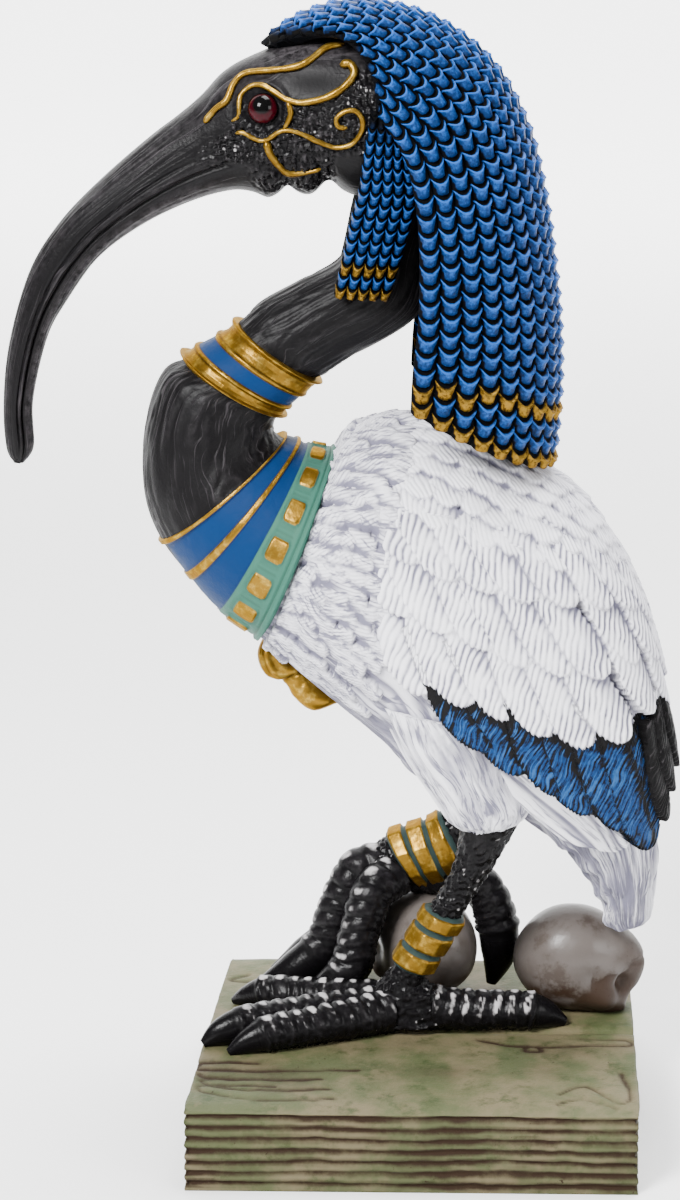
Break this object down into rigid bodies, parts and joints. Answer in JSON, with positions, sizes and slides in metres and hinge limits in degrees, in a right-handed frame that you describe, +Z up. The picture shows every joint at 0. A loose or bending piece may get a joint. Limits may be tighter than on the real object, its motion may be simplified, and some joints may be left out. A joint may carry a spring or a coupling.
{
  "type": "thoth ibis figure",
  "caption": "Standing ibis figure in a beaded wig, bangle and broad collar, on an open book with a skull under its foot.",
  "frame": {"origin": "middle of the plinth's flat underside", "axes": "+Z up, the beak points along -X, and +Y is the bird's right hand side"},
  "size_m": [0.1495, 0.092, 0.2507],
  "materials": {
    "painted_book": "cast resin, matt green and cream paint with a brown wash in the grooves",
    "painted_bone": "cast resin, satin pearl grey paint with a brown wash in the hollows",
    "painted_bird": "cast resin, white feathers with a pale violet grey wash",
    "black_skin": "cast resin, satin black paint, dry brushed with grey",
    "blue_paint": "cast resin, satin metallic blue paint over black",
    "gold_paint": "antique gold paint, worn darker in the hollows",
    "green_paint": "matt verdigris green paint",
    "red_eye": "gloss red paint with a black pupil"
  },
  "bodies": {
    "root": {"plinth": "painted_book", "gripped_skull": "painted_bone", "rear_skull": "painted_bone", "ibis": "painted_bird"}
  },
  "joints": []
}
